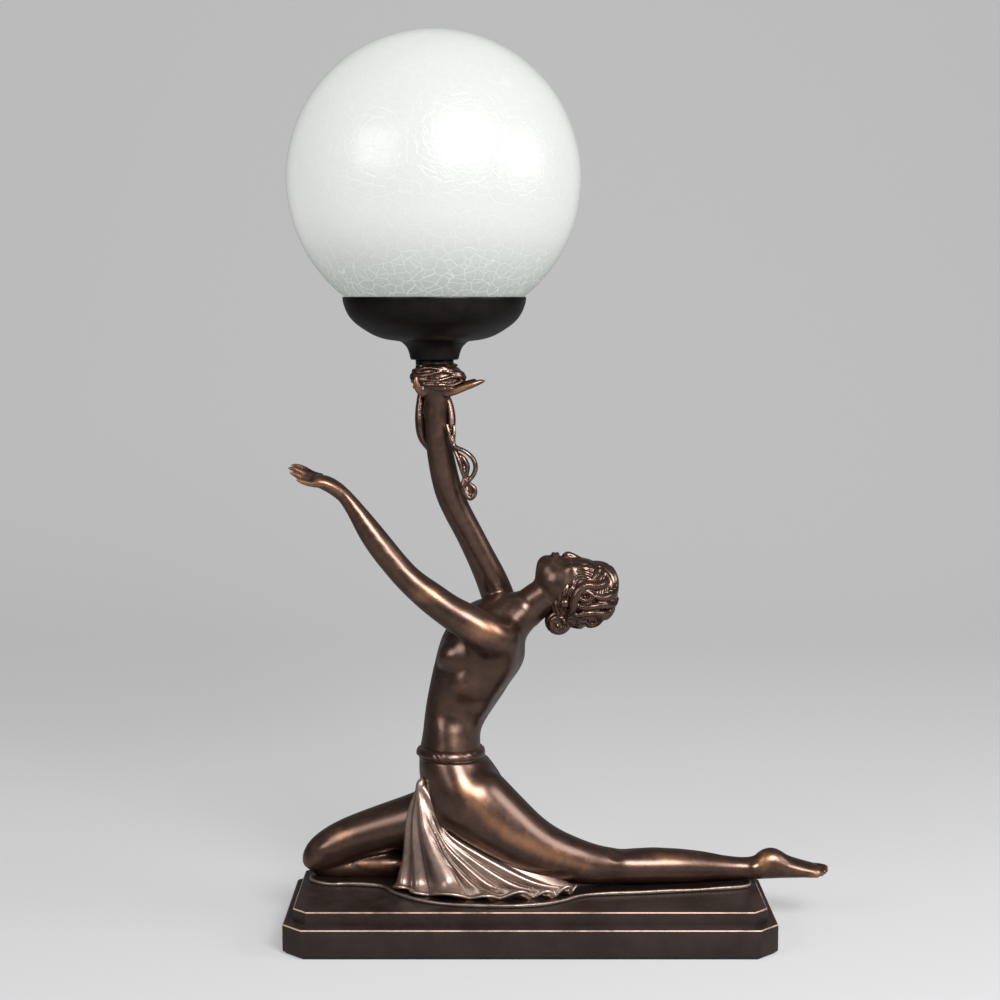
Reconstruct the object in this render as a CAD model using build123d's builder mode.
from build123d import *
import math
import os

# Figural table lamp: a kneeling dancer cast in pieces stands on a two-step base and holds up a
# glass globe in a gallery cup. Millimetres, X to the figure's back, Y away from the viewer, Z up.
# The origin is the middle of the underside.

os.makedirs("parts", exist_ok=True)

# ---------------------------------------------------------------- driving dimensions
# Base
felt_thickness = 1.2
felt_inset = 1.5
lower_length = 250.4
lower_depth = 97.0
lower_height = 14.2
lower_clip = 10.0
upper_length = 240.6
upper_depth = 80.0
upper_height = 6.6
upper_clip = 7.0
edge_round = 0.9
base_wall = 6.0
base_ceiling = 4.5
plate_thickness = 1.5
plate_ledge = 5.0
cover_screw_span_x = 208.0
cover_screw_span_y = 48.0
cover_screw_r = 1.6
cover_screw_head_r = 3.1
cover_screw_grip = 8.0
boss_r = 4.6

# Cord inlet in the back wall
inlet_x = 30.0
inlet_bore_r = 3.5
inlet_bush_r = 5.0
inlet_flange_r = 6.6
inlet_flange = 1.6

# Figure
slab_thickness = 2.0
joint_pin_r = 1.5
joint_pin_length = 14.0
figure_screw_r = 2.5
figure_screw_head_r = 4.4
figure_screw_head = 3.0
figure_screw_grip = 9.0

# Conduit and lead
conduit_r = 4.0
conduit_bore_r = 2.9
conduit_bend_r = 26.0
conduit_tail = 8.0
nut_height = 4.5
nut_flats = 14.0
washer_r = 7.4
washer_thickness = 1.0
flex_r = 1.8
core_r = 0.55
core_spread = 3.2
core_spread_in = 0.9
terminal_bore_r = 1.6
terminal_screw_r = 1.4
block_from_spine = 46.0
block_length = 16.0
block_depth = 17.0
block_height = 10.0
block_screw_x = 4.2
core_length = 4.0
lead_straight = 7.0
lead_dip = 9.0
flex_bend_r = 5.0

# Lamp head, all on the vertical lamp axis
lamp_x = -48.8
lamp_y = 6.0
hand_height = 271.5
collar_r = 9.8
collar_show = 2.7
collar_grip = 9.0
collar_body_r = 6.6
collar_edge = 0.5
nipple_r = 5.0
nipple_bore_r = 3.6
cup_sheet = 1.0
globe_r = 75.0
globe_glass = 3.0
seat_ring_height = 2.2
seat_ring_width = 6.0
seat_ring_slope = 2.2

# The gallery cup and the globe's fitter neck, as shares of the globe's radius
globe_above_rim = 0.7907 * globe_r
globe_neck_r = 0.5067 * globe_r
globe_neck_drop = 0.1067 * globe_r
cup_height = 0.4253 * globe_r
cup_neck_r = 0.1653 * globe_r
cup_shoulder_r = 0.212 * globe_r
cup_shoulder_z = 0.112 * globe_r
cup_bowl_foot_r = 0.2533 * globe_r
cup_bowl_foot_z = 0.128 * globe_r

# Lampholder and bulb
holder_gap = 8.0
holder_floor = 3.0
holder_cap_r = 14.0
holder_cap_height = 11.0
holder_cap_edge = 2.0
holder_mouth_edge = 1.2
holder_wall = 1.8
holder_core_height = 7.0
holder_body_r = 13.2
holder_body_height = 27.0
shell_r = 8.2
shell_sheet = 0.5
shell_height = 20.0
bulb_cap_r = 6.9
bulb_cap_height = 19.0
bulb_tip = 2.0
bulb_ball_r = 22.5
bulb_length = 78.0
bulb_glass_wall = 0.9
bulb_cap_sheet = 0.4
bulb_tip_r = 2.4
bulb_insulator_height = 2.4
bulb_neck_seat = 8.0
centre_contact_r = 2.6
centre_contact_height = 1.0
stem_r = 1.4
stick_length = 20.0
stick_circle_r = 4.6
stick_r = 0.8
stick_disc = 0.8

# Fits
pin_clearance = 0.05
screw_clearance = 0.05
bore_clearance = 0.25
drop_in_clearance = 0.25
cast_gap = 0.12
globe_clearance = 0.35
bulb_gap = 0.1

# ---------------------------------------------------------------- levels worked out from them
base_bottom = felt_thickness
ledge_z = base_bottom + lower_height
base_top = ledge_z + upper_height
floor_z = base_top + slab_thickness
ceiling_z = base_top - base_ceiling
plate_top = base_bottom + plate_thickness

cup_bottom = floor_z + hand_height + collar_show
cup_rim = cup_bottom + cup_height
globe_z = cup_rim + globe_above_rim
cup_mouth_r = math.sqrt(globe_r**2 - globe_above_rim**2) + globe_clearance + cup_sheet
globe_mouth_z = globe_z - math.sqrt(globe_r**2 - globe_neck_r**2)
globe_foot_z = globe_mouth_z - globe_neck_drop
holder_z = cup_bottom + holder_gap
holder_top = holder_z + holder_cap_height + holder_core_height / 2 + holder_body_height
bulb_tip_z = holder_z + holder_cap_height + holder_core_height / 2 + centre_contact_height + bulb_gap
bulb_cap_bottom = bulb_tip_z + bulb_tip
bulb_cap_top = bulb_cap_bottom + bulb_cap_height
bulb_ball_z = bulb_tip_z + bulb_length - bulb_ball_r


# ---------------------------------------------------------------- helpers
def write(piece, name):
    """Label a finished piece and write it under its own name."""
    piece.part.label = name
    export_step(piece.part, f"parts/{name}.step")


def clipped_slab(length, depth, clip, low, height, rounding=0.0):
    """An oblong slab with its corners clipped at 45 degrees and its top edge rounded."""
    with BuildPart() as slab:
        with BuildSketch(Plane.XY.offset(low)) as outline:
            Rectangle(length, depth)
            chamfer(outline.vertices(), clip)
        extrude(amount=height)
        if rounding:
            fillet(slab.faces().sort_by(Axis.Z)[-1].edges(), rounding)
    return slab.part


def limb(stations, grow=0.0):
    """A smooth solid through ovals (x, y, height above the slab, deep radius, broad radius).

    Each oval stands square to the run of the stations. The deep radius lies in the XZ plane,
    and the broad one along Y.
    """
    centres = [Vector(x, y, floor_z + z) for x, y, z, _, _ in stations]
    last = len(stations) - 1
    turn = [index * math.tau / 12 for index in range(12)]
    with BuildPart() as body:
        for index, (_, _, _, deep, broad) in enumerate(stations):
            along = centres[min(index + 1, last)] - centres[max(index - 1, 0)]
            across = Vector(0, 1, 0).cross(along)
            with BuildSketch(Plane(origin=centres[index], x_dir=across, z_dir=along)):
                with BuildLine():
                    points = [((deep + grow) * math.cos(a), (broad + grow) * math.sin(a)) for a in turn]
                    Spline(*points, periodic=True)
                make_face()
        loft()
    return body.part


def ball(x, y, z, r):
    """A ball with its centre at a height above the slab."""
    with BuildPart() as body:
        with Locations((x, y, floor_z + z)):
            Sphere(r)
    return body.part


def joint_plane(x, y, z, normal):
    """A flat joint between two cast pieces, at a height above the slab."""
    return Plane(origin=(x, y, floor_z + z), z_dir=normal)


def pin_at(plane, radius, length):
    """A straight pin, half on each side of a joint plane."""
    with BuildPart() as pin:
        with BuildSketch(plane.offset(-length / 2)):
            Circle(radius)
        extrude(amount=length)
    return pin.part


def joint_pin(plane):
    return pin_at(plane, joint_pin_r, joint_pin_length)


def joint_hole(plane):
    return pin_at(plane, joint_pin_r + pin_clearance, joint_pin_length + 2 * pin_clearance)


def rod(radius, low, high, x=lamp_x, y=lamp_y):
    """An upright rod between two heights."""
    with BuildPart() as body:
        with BuildSketch(Plane((x, y, low))):
            Circle(radius)
        extrude(amount=high - low)
    return body.part


def piped(path, radius):
    """A round rod that follows a path."""
    with BuildPart() as body:
        with BuildSketch(Plane(origin=path @ 0, z_dir=path % 0)):
            Circle(radius)
        sweep(path=path)
    return body.part


# ---------------------------------------------------------------- conduit route
# From under the base ceiling up the hips and torso, out at the right shoulder and up the raised arm.
conduit_foot_z = ceiling_z - conduit_tail
conduit_top_z = cup_bottom - collar_grip / 2
spine_x, spine_y = -37.0, 6.0
route_waist = (spine_x, spine_y, floor_z + 66)
route_shoulder = (-14.0, 21.0, floor_z + 143)
route_elbow = (-37.3, 13.0, floor_z + 197)
route_wrist = (lamp_x, lamp_y, floor_z + 246)
conduit_points = [
    (spine_x, spine_y, conduit_foot_z),
    route_waist,
    route_shoulder,
    route_elbow,
    route_wrist,
    (lamp_x, lamp_y, conduit_top_z),
]
with BuildLine() as conduit_route:
    FilletPolyline(*conduit_points, radius=conduit_bend_r)
conduit_path = conduit_route.wire()

core_bottom = holder_z + holder_cap_height - holder_core_height / 2
# The lead's core line: out of the terminal block, up the conduit, into the lampholder.
block_x = spine_x + block_from_spine
block_wire_z = ceiling_z - block_height / 2
flex_low_z = plate_top + flex_r + 1.0
flex_end_x = block_x - block_length / 2 - core_length
flex_points = [
    (flex_end_x, spine_y, block_wire_z),
    (flex_end_x - lead_straight, spine_y, block_wire_z),
    (flex_end_x - lead_straight - lead_dip, spine_y, flex_low_z),
    (spine_x, spine_y, flex_low_z),
    *conduit_points[1:-1],
    (lamp_x, lamp_y, holder_z + 4.0),
]
flex_bends = [flex_bend_r] * 3 + [conduit_bend_r] * 4
with BuildLine() as flex_route:
    FilletPolyline(*flex_points, radius=flex_bends)
flex_path = flex_route.wire()

conduit_bore = piped(conduit_path, conduit_r + bore_clearance)

# ---------------------------------------------------------------- base
cavity_length = upper_length - 2 * base_wall
cavity_depth = upper_depth - 2 * base_wall
plate_length = cavity_length + 2 * plate_ledge
plate_depth = cavity_depth + 2 * plate_ledge
inlet_z = (plate_top + ledge_z) / 2
back_wall = (lower_depth - cavity_depth) / 2
plate_clip = upper_clip + plate_ledge / 2
figure_screw_spots = [(-90.0, 17.0), (66.0, 5.5)]

with BuildPart() as base_casting:
    add(clipped_slab(lower_length, lower_depth, lower_clip, base_bottom, lower_height, edge_round))
    add(clipped_slab(upper_length, upper_depth, upper_clip, ledge_z, upper_height, edge_round))
    add(clipped_slab(cavity_length, cavity_depth, upper_clip, base_bottom, ceiling_z - base_bottom),
        mode=Mode.SUBTRACT)
    with GridLocations(cover_screw_span_x, cover_screw_span_y, 2, 2):
        with Locations((0, 0, plate_top)):
            Cylinder(boss_r, ceiling_z - plate_top, align=(Align.CENTER, Align.CENTER, Align.MIN))
            Cylinder(cover_screw_r + screw_clearance, cover_screw_grip + 1.0,
                     align=(Align.CENTER, Align.CENTER, Align.MIN), mode=Mode.SUBTRACT)
    add(clipped_slab(plate_length + 2 * drop_in_clearance, plate_depth + 2 * drop_in_clearance,
                     plate_clip, base_bottom, plate_thickness), mode=Mode.SUBTRACT)
    with BuildSketch(Plane.XZ.offset(-lower_depth / 2)):
        with Locations((inlet_x, inlet_z)):
            Circle(inlet_bush_r + drop_in_clearance)
    extrude(amount=back_wall + 1, mode=Mode.SUBTRACT)
    add(rod(conduit_r + bore_clearance, ceiling_z - 1, base_top + 1, spine_x, spine_y), mode=Mode.SUBTRACT)
    for x, y in figure_screw_spots:
        add(rod(figure_screw_r + bore_clearance, ceiling_z - 1, base_top + 1, x, y), mode=Mode.SUBTRACT)
write(base_casting, "base_casting")

with BuildPart() as cover_plate:
    add(clipped_slab(plate_length, plate_depth, plate_clip, base_bottom, plate_thickness))
    with Locations(Plane(origin=(0, 0, base_bottom), x_dir=(1, 0, 0), z_dir=(0, 0, -1))):
        with GridLocations(cover_screw_span_x, cover_screw_span_y, 2, 2):
            CounterSinkHole(cover_screw_r + bore_clearance, cover_screw_head_r, plate_thickness)
write(cover_plate, "cover_plate")

screw_head_height = cover_screw_head_r - cover_screw_r
with BuildPart() as cover_screws:
    with GridLocations(cover_screw_span_x, cover_screw_span_y, 2, 2):
        with Locations((0, 0, base_bottom)):
            Cone(cover_screw_head_r - bore_clearance, cover_screw_r - screw_clearance, screw_head_height,
                 align=(Align.CENTER, Align.CENTER, Align.MIN))
            Cylinder(cover_screw_r, plate_thickness + cover_screw_grip,
                     align=(Align.CENTER, Align.CENTER, Align.MIN))
write(cover_screws, "cover_screws")

with BuildPart() as felt_pad:
    add(clipped_slab(lower_length - 2 * felt_inset, lower_depth - 2 * felt_inset, lower_clip, 0,
                     felt_thickness))
write(felt_pad, "felt_pad")

# Split bush in the back wall, flange outside
with BuildPart() as inlet_bush:
    with BuildSketch(Plane.XZ.offset(-lower_depth / 2)):
        with Locations((inlet_x, inlet_z)):
            Circle(inlet_bush_r)
    extrude(amount=back_wall)
    with BuildSketch(Plane.XZ.offset(-lower_depth / 2)):
        with Locations((inlet_x, inlet_z)):
            Circle(min(inlet_flange_r, inlet_z - base_bottom))
    extrude(amount=-inlet_flange)
    with BuildSketch(Plane.XZ.offset(-lower_depth / 2 - inlet_flange)):
        with Locations((inlet_x, inlet_z)):
            Circle(inlet_bore_r)
    extrude(amount=back_wall + inlet_flange, mode=Mode.SUBTRACT)
write(inlet_bush, "inlet_bush")

# ---------------------------------------------------------------- wiring in the base
with BuildPart() as terminal_block:
    with Locations((block_x, spine_y, ceiling_z)):
        Box(block_length, block_depth, block_height, align=(Align.CENTER, Align.CENTER, Align.MAX))
    wire_row = Plane(origin=(block_x - block_length / 2, spine_y, block_wire_z), x_dir=(0, 1, 0),
                     z_dir=(1, 0, 0))
    with BuildSketch(wire_row):
        with GridLocations(2 * core_spread, 1, 2, 1):
            Circle(terminal_bore_r)
    extrude(amount=block_length, mode=Mode.SUBTRACT)
    with BuildSketch(Plane((block_x, spine_y, ceiling_z - block_height))):
        with GridLocations(2 * block_screw_x, 2 * core_spread, 2, 2):
            Circle(terminal_screw_r + screw_clearance)
    extrude(amount=block_height / 2 - terminal_bore_r, mode=Mode.SUBTRACT)
    with BuildSketch(Plane((block_x, spine_y, ceiling_z - block_height))):
        Circle(terminal_screw_r + screw_clearance)
    extrude(amount=block_height, mode=Mode.SUBTRACT)
write(terminal_block, "terminal_block")

with BuildPart() as terminal_screws:
    with BuildSketch(Plane((block_x, spine_y, ceiling_z - block_height))):
        with GridLocations(2 * block_screw_x, 2 * core_spread, 2, 2):
            Circle(terminal_screw_r)
    extrude(amount=block_height / 2 - terminal_bore_r)
write(terminal_screws, "terminal_screws")

with BuildPart() as inner_flex:
    add(piped(flex_path, flex_r))
write(inner_flex, "inner_flex")

# Stripped cores: from the lead's end into the block, and from its top end to the lampholder core
with BuildPart() as flex_cores:
    for side in (-1, 1):
        with BuildLine(mode=Mode.PRIVATE) as core_line:
            FilletPolyline((flex_end_x, spine_y + side * core_spread_in, block_wire_z),
                           (flex_end_x + core_length / 4, spine_y + side * core_spread_in, block_wire_z),
                           (flex_end_x + core_length, spine_y + side * core_spread, block_wire_z),
                           (flex_end_x + core_length + block_length / 2, spine_y + side * core_spread,
                            block_wire_z),
                           radius=2 * core_r)
        add(piped(core_line.wire(), core_r))
    with BuildSketch(Plane(flex_path @ 1)):
        with GridLocations(2 * core_spread_in, 1, 2, 1):
            Circle(core_r)
    extrude(amount=core_bottom - (flex_path @ 1).Z)
write(flex_cores, "flex_cores")

# ---------------------------------------------------------------- conduit and its clamp
with BuildPart() as conduit:
    add(piped(conduit_path, conduit_r))
    add(piped(conduit_path, conduit_bore_r), mode=Mode.SUBTRACT)
write(conduit, "conduit")

with BuildPart() as conduit_washer:
    add(rod(washer_r, ceiling_z - washer_thickness, ceiling_z, spine_x, spine_y))
    add(rod(conduit_r + bore_clearance, ceiling_z - washer_thickness, ceiling_z, spine_x, spine_y),
        mode=Mode.SUBTRACT)
write(conduit_washer, "conduit_washer")

with BuildPart() as conduit_nut:
    with BuildSketch(Plane((spine_x, spine_y, ceiling_z - washer_thickness - nut_height))):
        RegularPolygon(nut_flats / 2, 6, major_radius=False)
        Circle(conduit_r + screw_clearance, mode=Mode.SUBTRACT)
    extrude(amount=nut_height)
write(conduit_nut, "conduit_nut")

# ---------------------------------------------------------------- figure: cutting planes and shapes
waist_low, waist_high = 67.5, 73.5
near_thigh_joint = joint_plane(-17.0, -7.5, 36.0, (0.80, 0.02, -0.60))
far_thigh_joint = joint_plane(-56.0, 18.2, 31.5, (-0.93, 0.10, -0.34))
neck_joint = joint_plane(-4.5, 5.0, 143.5, (0.86, 0.0, 0.51))
shoulder_pin_plane = joint_plane(-22.0, -17.0, 134.0, (-0.15, -0.97, 0.2))

near_leg_line = [
    (-36, -5, 54, 17, 17), (-30, -7, 47, 20, 18.5), (-17, -7.5, 36, 18.5, 17.5), (-3, -7, 25.5, 16, 16),
    (10, -5, 18.5, 14, 14), (24, -2, 13.5, 12, 12), (36, 0, 10.5, 10.3, 11), (48, 3, 9, 9.8, 10),
    (62, 5, 8.5, 9.6, 10.3), (80, 7, 8, 9, 9.5), (98, 9, 6.5, 7, 7.5), (115, 10, 6, 6.2, 6),
    (122, 10, 6.8, 6.8, 6.3), (129, 10.5, 8.6, 9, 7), (136, 11, 6.6, 6.2, 7.5), (146, 11.5, 5.3, 4.4, 7.8),
    (155, 12, 5.1, 2.6, 6.3), (159, 12, 5.3, 1.2, 3.2),
]
far_thigh_line = [
    (-33, 12, 40, 15, 15), (-45, 16, 35.5, 15.5, 16), (-60, 18.5, 30, 14.3, 15.3),
    (-78.5, 19, 24.7, 12.3, 13.5),
    (-95, 19, 19, 10.8, 12), (-106, 19, 12, 10.3, 11), (-113, 19, 7.5, 8.2, 9), (-118, 19, 5, 4, 5),
]
far_shin_line = [
    (-114, 19.5, 7, 4.5, 5), (-108, 19.5, 6.5, 6.8, 7), (-95, 20, 5, 6.6, 6.8), (-75, 21, 4.8, 7.2, 7.4),
    (-50, 23, 5, 8, 8), (-25, 25, 4.5, 6.5, 6.5), (-10, 26, 4, 5.5, 5.5), (5, 26.5, 3.5, 4.5, 6.5),
    (18, 26.5, 3, 2.6, 5),
]
pelvis_line = [
    (-41.3, 5, 74, 16.5, 22), (-39.5, 4.5, 62, 18.5, 25), (-35.5, 4, 52, 21, 29), (-31.5, 4, 43, 22, 31),
    (-29.5, 4, 35, 18, 26), (-28.5, 4, 29, 10, 15),
]
torso_line = [
    (-41.5, 5, 62, 18, 24), (-41, 5, 72, 16.2, 21.5), (-40, 5, 84, 15.4, 20.5), (-36.5, 5, 97, 17.2, 22),
    (-31, 5, 110, 19.8, 24), (-25.5, 5, 123, 21, 25), (-19, 5, 134, 19.5, 25), (-11, 5, 140.5, 13.5, 18),
    (-2, 5, 145, 10.5, 11.5),
]
left_arm_line = [
    (-12, -20, 128, 5, 5), (-20, -22.5, 134.5, 10, 9.6), (-32, -22.5, 143, 9.4, 9.2),
    (-41, -22, 148.5, 8.6, 8.6),
    (-50, -21, 155, 8.1, 8.1), (-60, -20, 163, 7.3, 7.3), (-67.5, -19.5, 171, 6.9, 7),
    (-75.5, -19, 181, 6.7, 6.8),
    (-82, -18.5, 190, 6.1, 6.3), (-88, -18, 199, 4.9, 5.2), (-93.5, -18, 206.5, 3.9, 4.6),
    (-97.5, -18, 210.5, 3.8, 5), (-104, -18, 213, 3.9, 7), (-111, -18, 215.2, 3.5, 7.4),
    (-117, -18, 218, 2.8, 6.6), (-121.5, -18, 221, 1.7, 5.4),
]
right_arm_line = [
    (-13, 24, 124, 6, 6), (-14.3, 24.2, 134, 9, 9), (-15.6, 23.6, 146, 9, 8.8), (-19.8, 21, 158.5, 8.4, 8.2),
    (-25.7, 18, 171.5, 7.7, 7.7), (-31.7, 15.5, 184, 7.5, 7.5), (-37.3, 13, 195, 7.3, 7.3),
    (-41.5, 11, 205, 7.3, 7.3), (-44.3, 9.5, 216, 7.3, 7.3), (-46.6, 8, 229, 6.9, 7),
    (-48.2, 6.6, 242, 6.4, 6.6), (lamp_x, lamp_y, 253, 6.2, 6.6), (lamp_x, lamp_y, 261, 6.6, 7.6),
]
right_hand_line = [
    (lamp_x - 6, lamp_y, 256.5, 3, 5), (lamp_x, lamp_y, 258.5, 4.6, 7.8), (lamp_x + 7, lamp_y, 260, 4, 8.6),
    (lamp_x + 15, lamp_y, 261.2, 2.9, 7.6), (lamp_x + 21.5, lamp_y, 261.9, 2, 6),
    (lamp_x + 24, lamp_y, 262.1, 1.2, 4),
]
neck_line = [
    (-12, 5, 138, 11, 11.5), (-4, 4.8, 143.2, 10.2, 10.6), (4, 4.4, 150, 9.8, 10.1), (12, 4, 154.6, 10.2, 10.2),
]
floor_plane = Plane((0, 0, floor_z))


def oval_ball(centre, along, length_r, deep, broad):
    """Stations of an egg with its long axis along a direction in the XZ plane."""
    stops = [-0.985, -0.86, -0.6, -0.25, 0.15, 0.55, 0.84, 0.985]
    lean = math.radians(along)
    return [
        (centre[0] + t * length_r * math.cos(lean), centre[1], centre[2] + t * length_r * math.sin(lean),
         deep * math.sqrt(1 - t * t), broad * math.sqrt(1 - t * t))
        for t in stops
    ]


head_centre = (23.5, 4.0, 154.3)
head_lean = -10.0
skull = limb(oval_ball(head_centre, head_lean, 22.2, 17.6, 16.6))
near_leg = limb(near_leg_line)
near_leg_room = limb(near_leg_line, cast_gap)
far_thigh = limb(far_thigh_line)
far_thigh_room = limb(far_thigh_line, cast_gap)
far_shin = limb(far_shin_line)
far_shin_room = limb(far_shin_line, cast_gap)
pelvis = limb(pelvis_line)
pelvis_room = limb(pelvis_line, cast_gap)

# ---------------------------------------------------------------- slab and skirt
slab_outline = [
    (-116, 12), (-106, 4), (-94, 4), (-78, 0), (-70, -12), (-54, -26), (-30, -33), (0, -33),
    (17, -25), (30, -15),
    (57, -11), (89, -6), (112, -1), (117, 8), (110, 20), (80, 20), (50, 22), (25, 33), (-20, 34), (-60, 31),
    (-98, 30), (-114, 24),
]
with BuildPart() as ground_slab:
    with BuildSketch(Plane.XY.offset(base_top)):
        with BuildLine():
            Spline(*slab_outline, periodic=True)
        make_face()
    extrude(amount=slab_thickness)
    add(rod(conduit_r + bore_clearance, base_top, floor_z, spine_x, spine_y), mode=Mode.SUBTRACT)
    for x, y in figure_screw_spots:
        add(rod(figure_screw_r + bore_clearance, base_top, floor_z, x, y), mode=Mode.SUBTRACT)
write(ground_slab, "ground_slab")

# The hem swings round half an ellipse in front of the knees, one arc to each pleat
pleat_count = 7
hem_centre = (-24.0, 4.0)
hem_reach_x, hem_reach_y = 46.0, 31.0
hem_first, hem_last = 172.0, 338.0
pleat_swell = 3.2
skirt_back_y = 8.0
skirt_tip = (-47.0, -4.0, 60.0)


def pleat_ring(height, share):
    """The skirt's outline at a height above the slab: a share of the hem, drawn towards the tip."""
    tip_x, tip_y, tip_z = skirt_tip
    rise = height / tip_z
    centre_x = hem_centre[0] + (tip_x - hem_centre[0]) * rise
    centre_y = hem_centre[1] + (tip_y - hem_centre[1]) * rise

    def spot(angle, swell):
        a = math.radians(angle)
        return (centre_x + (hem_reach_x * share + swell) * math.cos(a),
                centre_y + (hem_reach_y * share + swell) * math.sin(a))

    step = (hem_last - hem_first) / pleat_count
    with BuildSketch(Plane.XY.offset(floor_z + height)) as ring:
        with BuildLine():
            for pleat in range(pleat_count):
                low = hem_first + pleat * step
                ThreePointArc(spot(low, 0), spot(low + step / 2, pleat_swell * share), spot(low + step, 0))
            back = centre_y + (skirt_back_y - hem_centre[1]) * share
            first, last = spot(hem_first, 0), spot(hem_last, 0)
            Polyline(last, (last[0], back), (first[0], back), first)
        make_face()
    return ring.sketch


with BuildPart() as skirt_fan:
    for height, share in ((0, 1.0), (12, 0.80), (32, 0.52), (56, 0.17)):
        add(pleat_ring(height, share))
    loft(ruled=True)
    for neighbour in (near_leg_room, far_thigh_room, far_shin_room, pelvis_room, conduit_bore):
        add(neighbour, mode=Mode.SUBTRACT)
with BuildPart() as skirt:
    add(skirt_fan.solids().sort_by(SortBy.VOLUME)[-1])
write(skirt, "skirt")

# ---------------------------------------------------------------- hips and legs
hip_top = joint_plane(0, 0, waist_low, (0, 0, 1))
with BuildPart() as hips:
    add(pelvis)
    add(near_leg)
    add(far_thigh)
    split(bisect_by=hip_top, keep=Keep.BOTTOM)
    split(bisect_by=near_thigh_joint, keep=Keep.BOTTOM)
    split(bisect_by=far_thigh_joint, keep=Keep.BOTTOM)
    for plane in (near_thigh_joint, far_thigh_joint):
        add(joint_hole(plane), mode=Mode.SUBTRACT)
    add(conduit_bore, mode=Mode.SUBTRACT)
write(hips, "hips")

with BuildPart() as left_leg:
    add(near_leg)
    split(bisect_by=near_thigh_joint, keep=Keep.TOP)
    split(bisect_by=floor_plane, keep=Keep.TOP)
    add(joint_hole(near_thigh_joint), mode=Mode.SUBTRACT)
    x, y = figure_screw_spots[1]
    add(rod(figure_screw_r + screw_clearance, floor_z, floor_z + figure_screw_grip + 1, x, y),
        mode=Mode.SUBTRACT)
write(left_leg, "left_leg")

with BuildPart() as right_leg:
    add(far_thigh)
    split(bisect_by=far_thigh_joint, keep=Keep.TOP)
    add(far_shin)
    split(bisect_by=floor_plane, keep=Keep.TOP)
    add(joint_hole(far_thigh_joint), mode=Mode.SUBTRACT)
    x, y = figure_screw_spots[0]
    add(rod(figure_screw_r + screw_clearance, floor_z, floor_z + figure_screw_grip + 1, x, y),
        mode=Mode.SUBTRACT)
write(right_leg, "right_leg")

with BuildPart() as figure_screws:
    for x, y in figure_screw_spots:
        add(rod(figure_screw_r, ceiling_z, floor_z + figure_screw_grip, x, y))
        add(rod(figure_screw_head_r, ceiling_z - figure_screw_head, ceiling_z, x, y))
write(figure_screws, "figure_screws")

waistband_radii = (17.4, 22.8)
with BuildPart() as waistband:
    with BuildSketch(Plane((-41.2, 5, floor_z + waist_low))):
        Ellipse(*reversed(waistband_radii), rotation=90)
    extrude(amount=waist_high - waist_low)
    fillet(waistband.edges().filter_by(lambda e: e.length > 20), 1.2)
    add(conduit_bore, mode=Mode.SUBTRACT)
write(waistband, "waistband")

# ---------------------------------------------------------------- torso, arms and head
left_arm_body = limb(left_arm_line)
left_arm_room = limb(left_arm_line, cast_gap)
right_arm_body = limb(right_arm_line)
right_arm_room = limb(right_arm_line, cast_gap)
breast_r = 9.6
breast_spots = [(-40.5, -7.5, 121.5), (-39.5, 17.5, 122.5)]

with BuildPart() as torso:
    add(limb(torso_line))
    for x, y, z in breast_spots:
        add(ball(x, y, z, breast_r))
    split(bisect_by=joint_plane(0, 0, waist_high, (0, 0, 1)), keep=Keep.TOP)
    split(bisect_by=neck_joint, keep=Keep.BOTTOM)
    add(left_arm_room, mode=Mode.SUBTRACT)
    add(right_arm_room, mode=Mode.SUBTRACT)
    for plane in (neck_joint, shoulder_pin_plane):
        add(joint_hole(plane), mode=Mode.SUBTRACT)
    add(conduit_bore, mode=Mode.SUBTRACT)
write(torso, "torso")

with BuildPart() as left_arm:
    add(left_arm_body)
    add(joint_hole(shoulder_pin_plane), mode=Mode.SUBTRACT)
write(left_arm, "left_arm")

palm_top = floor_z + right_arm_line[-1][2] + 1.5
with BuildPart() as right_arm:
    add(right_arm_body)
    add(limb(right_hand_line))
    add(rod(collar_body_r + bore_clearance, palm_top, palm_top + 10), mode=Mode.SUBTRACT)
    add(conduit_bore, mode=Mode.SUBTRACT)
write(right_arm, "right_arm")


def head_spot(towards_crown, out_of_face):
    """A place in the head's middle plane, from its centre towards the crown and out through the face."""
    lean = math.radians(head_lean)
    x = head_centre[0] + towards_crown * math.cos(lean) - out_of_face * math.sin(lean)
    z = head_centre[2] + towards_crown * math.sin(lean) + out_of_face * math.cos(lean)
    return (x, head_centre[1], z)


# Hair: a fuller egg round the back of the skull, and a roll at the nape
hair = limb(oval_ball(head_spot(2.4, -0.4), head_lean, 20.8, 18.2, 17.8))
nape_roll_r = 6.6
nape_roll_length = 22.0
nape_roll = head_spot(-7.6, -16.6)
with BuildPart() as hair_roll:
    with BuildSketch(Plane.XZ.offset(nape_roll_length / 2 - head_centre[1])):
        with Locations((nape_roll[0], floor_z + nape_roll[2])):
            Circle(nape_roll_r)
    extrude(amount=-nape_roll_length)
    fillet(hair_roll.edges().filter_by(GeomType.CIRCLE), nape_roll_r / 3)
nose_line = [
    (*head_spot(2.2, 16.4), 1.1, 1.2), (*head_spot(-3.3, 18.9), 1.4, 1.6), (*head_spot(-7.7, 20.3), 1.9, 2.4),
    (*head_spot(-9.9, 18.6), 1.3, 2.4),
]
with BuildPart() as head:
    add(skull)
    add(hair)
    add(limb(nose_line))
    add(limb(neck_line))
    split(bisect_by=neck_joint, keep=Keep.TOP)
    add(hair_roll.part)
    add(joint_hole(neck_joint), mode=Mode.SUBTRACT)
write(head, "head")

with BuildPart() as joint_pins:
    for plane in (near_thigh_joint, far_thigh_joint, neck_joint, shoulder_pin_plane):
        add(joint_pin(plane))
write(joint_pins, "joint_pins")

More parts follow.
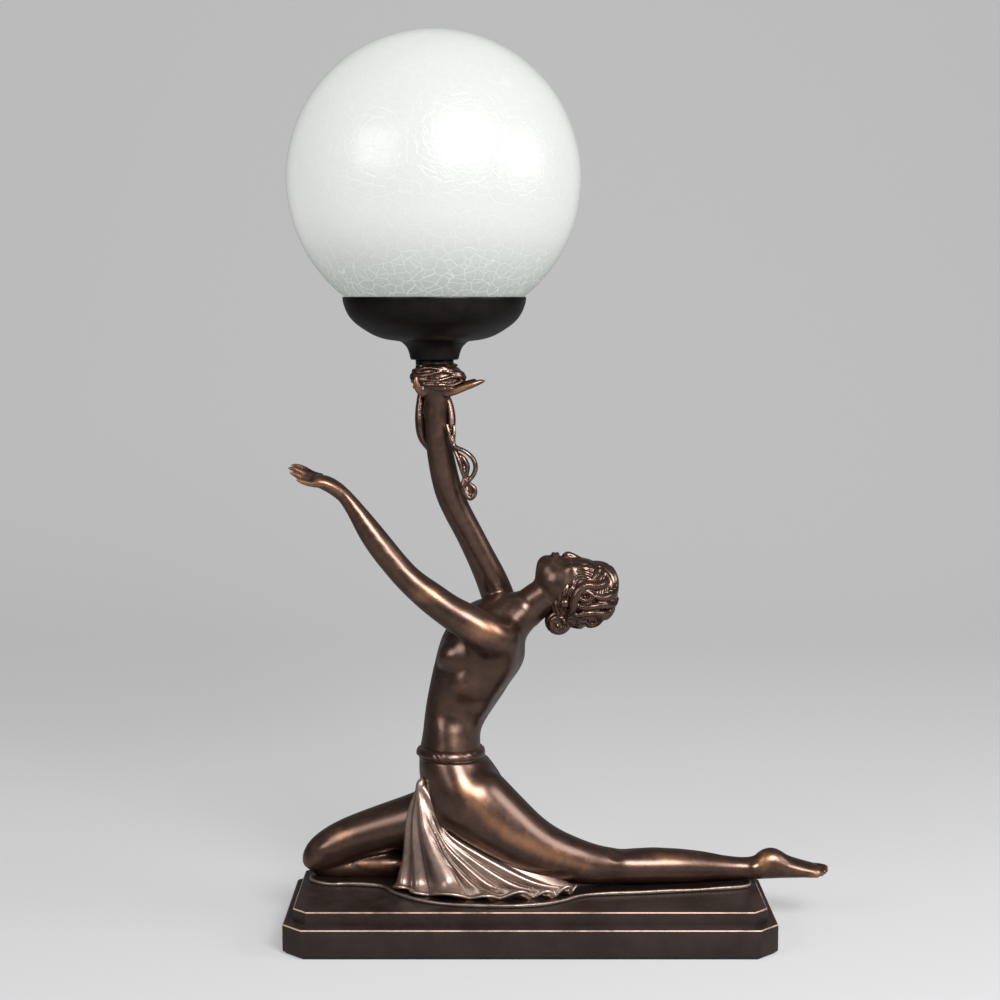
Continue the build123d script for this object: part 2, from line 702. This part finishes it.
# ---------------------------------------------------------------- scarf
# Bunched on the palm, down the outside of the wrist, round the forearm, then a loop and a loose end
wrap_line = [
    (lamp_x - 0.5, lamp_y, 248, 8.2, 8.6), (lamp_x - 1.5, lamp_y + 0.2, 243.5, 10, 10),
    (lamp_x - 1.2, lamp_y + 0.8, 238, 10.4, 10.2), (lamp_x + 0.2, lamp_y + 1.4, 232, 9.8, 9.8),
    (lamp_x + 1.6, lamp_y + 1.8, 227.5, 8.2, 8.6),
]
bunch_line = [
    (lamp_x - 12.8, lamp_y, 267, 2.6, 4.5), (lamp_x - 9, lamp_y, 266.6, 5.2, 8.5),
    (lamp_x, lamp_y, 266.2, 6.4, 9.6),
    (lamp_x + 8, lamp_y, 266.8, 5, 8.6), (lamp_x + 12.5, lamp_y, 267.4, 3, 6),
]
strip_line = [
    (lamp_x - 9.5, lamp_y, 266, 3.4, 5.4), (lamp_x - 10.5, lamp_y, 258, 2.4, 5),
    (lamp_x - 8.6, lamp_y, 250, 2.2, 5.4),
    (lamp_x - 8.2, lamp_y, 241, 2.4, 6),
]
loop_line = [
    (lamp_x + 6, lamp_y - 4, 229, 2.2, 3.4), (lamp_x + 11, lamp_y - 5, 227, 2.1, 3.2),
    (lamp_x + 17, lamp_y - 5, 224.5, 1.9, 3.2), (lamp_x + 20.5, lamp_y - 4.5, 220, 1.8, 3.2),
    (lamp_x + 18.5, lamp_y - 4, 214.5, 1.8, 3.2), (lamp_x + 14.5, lamp_y - 3.6, 210.5, 1.9, 3.2),
    (lamp_x + 18, lamp_y - 3.6, 205.5, 2.4, 3.6),
]
with BuildPart() as scarf:
    add(limb(wrap_line))
    add(limb(strip_line))
    add(limb(bunch_line))
    add(limb(loop_line))
    split(bisect_by=Plane((0, 0, floor_z + hand_height)), keep=Keep.BOTTOM)
    add(limb(right_arm_line, cast_gap), mode=Mode.SUBTRACT)
    add(limb(right_hand_line, cast_gap), mode=Mode.SUBTRACT)
    add(rod(collar_body_r + bore_clearance, palm_top, cup_bottom), mode=Mode.SUBTRACT)
    add(conduit_bore, mode=Mode.SUBTRACT)
write(scarf, "scarf")

# ---------------------------------------------------------------- collar, cup and their clamp
with BuildPart() as stem_collar:
    add(rod(collar_body_r, palm_top, cup_bottom))
    add(rod(collar_r, cup_bottom - collar_show, cup_bottom))
    add(rod(conduit_r + screw_clearance, palm_top, conduit_top_z), mode=Mode.SUBTRACT)
    add(rod(nipple_r + screw_clearance, conduit_top_z, cup_bottom), mode=Mode.SUBTRACT)
    collar_edges = stem_collar.edges().filter_by(GeomType.CIRCLE)
    fillet(collar_edges.filter_by(lambda e: abs(e.radius - collar_r) < 0.01), collar_edge)
write(stem_collar, "stem_collar")

nipple_top = holder_z + holder_floor + nut_height / 2
with BuildPart() as nipple:
    add(rod(nipple_r, conduit_top_z, nipple_top))
    add(rod(nipple_bore_r, conduit_top_z, nipple_top), mode=Mode.SUBTRACT)
write(nipple, "nipple")


with BuildPart() as gallery_cup:
    with BuildSketch(Plane.XZ):
        with BuildLine():
            rim = (cup_mouth_r, cup_height)
            Line((0, 0), (cup_neck_r, 0))
            Spline((cup_neck_r, 0), (cup_shoulder_r, cup_shoulder_z), tangents=[(0.05, 1), (0.8, 1)])
            Line((cup_shoulder_r, cup_shoulder_z), (cup_bowl_foot_r, cup_bowl_foot_z))
            Spline((cup_bowl_foot_r, cup_bowl_foot_z), rim, tangents=[(1, 0.08), (0.05, 1)],
                   tangent_scalars=[1.25, 1.05])
            Polyline(rim, (0, cup_height), (0, 0))
        make_face()
    revolve(axis=Axis.Z)
    offset(amount=-cup_sheet, openings=gallery_cup.faces().sort_by(Axis.Z)[-1])
    with BuildSketch(Plane.XY):
        Circle(nipple_r + bore_clearance)
    extrude(amount=cup_sheet * 2, mode=Mode.SUBTRACT)
gallery_cup.part.position = (lamp_x, lamp_y, cup_bottom)
write(gallery_cup, "gallery_cup")

hex_corner_r = nut_flats / math.sqrt(3)
gallery_washer_r = min(hex_corner_r, cup_neck_r - cup_sheet - 1)
with BuildPart() as gallery_washer:
    add(rod(gallery_washer_r, cup_bottom + cup_sheet, cup_bottom + cup_sheet + washer_thickness))
    add(rod(nipple_r + bore_clearance, cup_bottom + cup_sheet, cup_bottom + cup_sheet + washer_thickness),
        mode=Mode.SUBTRACT)
write(gallery_washer, "gallery_washer")

with BuildPart() as gallery_nut:
    with BuildSketch(Plane((lamp_x, lamp_y, cup_bottom + cup_sheet + washer_thickness))):
        RegularPolygon(nut_flats / 2, 6, major_radius=False)
        Circle(nipple_r + screw_clearance, mode=Mode.SUBTRACT)
    extrude(amount=nut_height)
write(gallery_nut, "gallery_nut")

# Soft ring that lies in the cup under the globe's neck, its edge sloped like the cup's wall
ring_outer_r = globe_neck_r - 2 * drop_in_clearance
with BuildPart() as seat_ring:
    with BuildSketch(Plane((lamp_x, lamp_y, globe_foot_z - seat_ring_height))):
        Circle(ring_outer_r - seat_ring_slope)
    with BuildSketch(Plane((lamp_x, lamp_y, globe_foot_z))):
        Circle(ring_outer_r)
    loft()
    add(rod(ring_outer_r - seat_ring_width, globe_foot_z - seat_ring_height, globe_foot_z),
        mode=Mode.SUBTRACT)
write(seat_ring, "seat_ring")

# ---------------------------------------------------------------- globe
with BuildPart() as globe:
    with Locations((lamp_x, lamp_y, globe_z)):
        Sphere(globe_r)
        Sphere(globe_r - globe_glass, mode=Mode.SUBTRACT)
    add(rod(globe_neck_r, globe_z - globe_r - 1, globe_mouth_z), mode=Mode.SUBTRACT)
    add(rod(globe_neck_r, globe_foot_z, globe_mouth_z + globe_glass))
    add(rod(globe_neck_r - globe_glass, globe_foot_z, globe_mouth_z + 2 * globe_glass), mode=Mode.SUBTRACT)
write(globe, "globe")

# ---------------------------------------------------------------- lampholder
core_top = core_bottom + holder_core_height
with BuildPart() as holder_cap:
    add(rod(holder_cap_r, holder_z, holder_z + holder_cap_height))
    fillet(holder_cap.faces().sort_by(Axis.Z)[0].edges(), holder_cap_edge)
    add(rod(holder_cap_r - holder_wall, holder_z + holder_floor, holder_z + holder_cap_height),
        mode=Mode.SUBTRACT)
    add(rod(nipple_r + screw_clearance, holder_z, holder_z + holder_floor), mode=Mode.SUBTRACT)
write(holder_cap, "holder_cap")

with BuildPart() as holder_core:
    add(rod(holder_cap_r - holder_wall - drop_in_clearance, core_bottom, core_top))
    with BuildSketch(Plane((lamp_x, lamp_y, core_bottom))):
        with GridLocations(2 * core_spread_in, 1, 2, 1):
            Circle(core_r + bore_clearance)
    extrude(amount=holder_core_height - 2, mode=Mode.SUBTRACT)
write(holder_core, "holder_core")

with BuildPart() as holder_body:
    add(rod(holder_cap_r, holder_z + holder_cap_height, core_top))
    add(rod(holder_cap_r - holder_wall, holder_z + holder_cap_height, core_top), mode=Mode.SUBTRACT)
    add(rod(holder_body_r, core_top, holder_top))
    fillet(holder_body.faces().sort_by(Axis.Z)[-1].edges(), holder_mouth_edge)
    add(rod(shell_r + drop_in_clearance, core_top, holder_top), mode=Mode.SUBTRACT)
write(holder_body, "holder_body")

with BuildPart() as contact_shell:
    add(rod(shell_r, core_top, core_top + shell_height))
    add(rod(shell_r - shell_sheet, core_top, core_top + shell_height), mode=Mode.SUBTRACT)
write(contact_shell, "contact_shell")

with BuildPart() as centre_contact:
    add(rod(centre_contact_r, core_top, core_top + centre_contact_height))
write(centre_contact, "centre_contact")

# ---------------------------------------------------------------- bulb
with BuildPart() as bulb_contact:
    add(rod(bulb_tip_r, bulb_tip_z, bulb_cap_bottom))
write(bulb_contact, "bulb_contact")

with BuildPart() as bulb_insulator:
    add(rod(bulb_cap_r - bulb_cap_sheet, bulb_cap_bottom, bulb_cap_bottom + bulb_insulator_height))
write(bulb_insulator, "bulb_insulator")

with BuildPart() as bulb_cap:
    add(rod(bulb_cap_r, bulb_cap_bottom, bulb_cap_top))
    add(rod(bulb_cap_r - bulb_cap_sheet, bulb_cap_bottom, bulb_cap_top), mode=Mode.SUBTRACT)
write(bulb_cap, "bulb_cap")

bulb_neck_r = bulb_cap_r - bulb_cap_sheet - drop_in_clearance
bulb_neck_foot = bulb_cap_top - bulb_neck_seat


def bulb_form(shrink):
    """The bulb's glass as a solid form: a ball that runs down into a straight neck."""
    ball_r = bulb_ball_r - shrink
    neck_r = bulb_neck_r - shrink
    join = math.radians(-35)
    with BuildPart() as form:
        with BuildSketch(Plane.XZ):
            with BuildLine():
                start = (ball_r * math.cos(join), bulb_ball_z + ball_r * math.sin(join))
                CenterArc((0, bulb_ball_z), ball_r, -35, 125)
                Spline((neck_r, bulb_cap_top + 1), start,
                       tangents=[(0, 1), (-math.sin(join), math.cos(join))])
                Polyline((neck_r, bulb_cap_top + 1), (neck_r, bulb_neck_foot + shrink),
                         (0, bulb_neck_foot + shrink), (0, bulb_ball_z + ball_r))
            make_face()
        revolve(axis=Axis.Z)
    form.part.position = (lamp_x, lamp_y, 0)
    return form.part


with BuildPart() as bulb_glass:
    add(bulb_form(0))
    add(bulb_form(bulb_glass_wall), mode=Mode.SUBTRACT)
write(bulb_glass, "bulb_glass")

# Glass stem on the bulb's floor with four upright filament sticks between two small discs
with BuildPart() as filament:
    stem_foot = bulb_neck_foot + bulb_glass_wall
    sticks_low = bulb_ball_z - stick_length / 2
    with Locations((lamp_x, lamp_y, stem_foot)):
        Cylinder(stem_r, sticks_low + stick_length - stem_foot, align=(Align.CENTER, Align.CENTER, Align.MIN))
    for level in (sticks_low, sticks_low + stick_length):
        with Locations((lamp_x, lamp_y, level)):
            Cylinder(stick_circle_r + stick_r + 0.5, stick_disc)
    with Locations((lamp_x, lamp_y, bulb_ball_z)):
        with PolarLocations(stick_circle_r, 4):
            Cylinder(stick_r, stick_length)
write(filament, "filament")
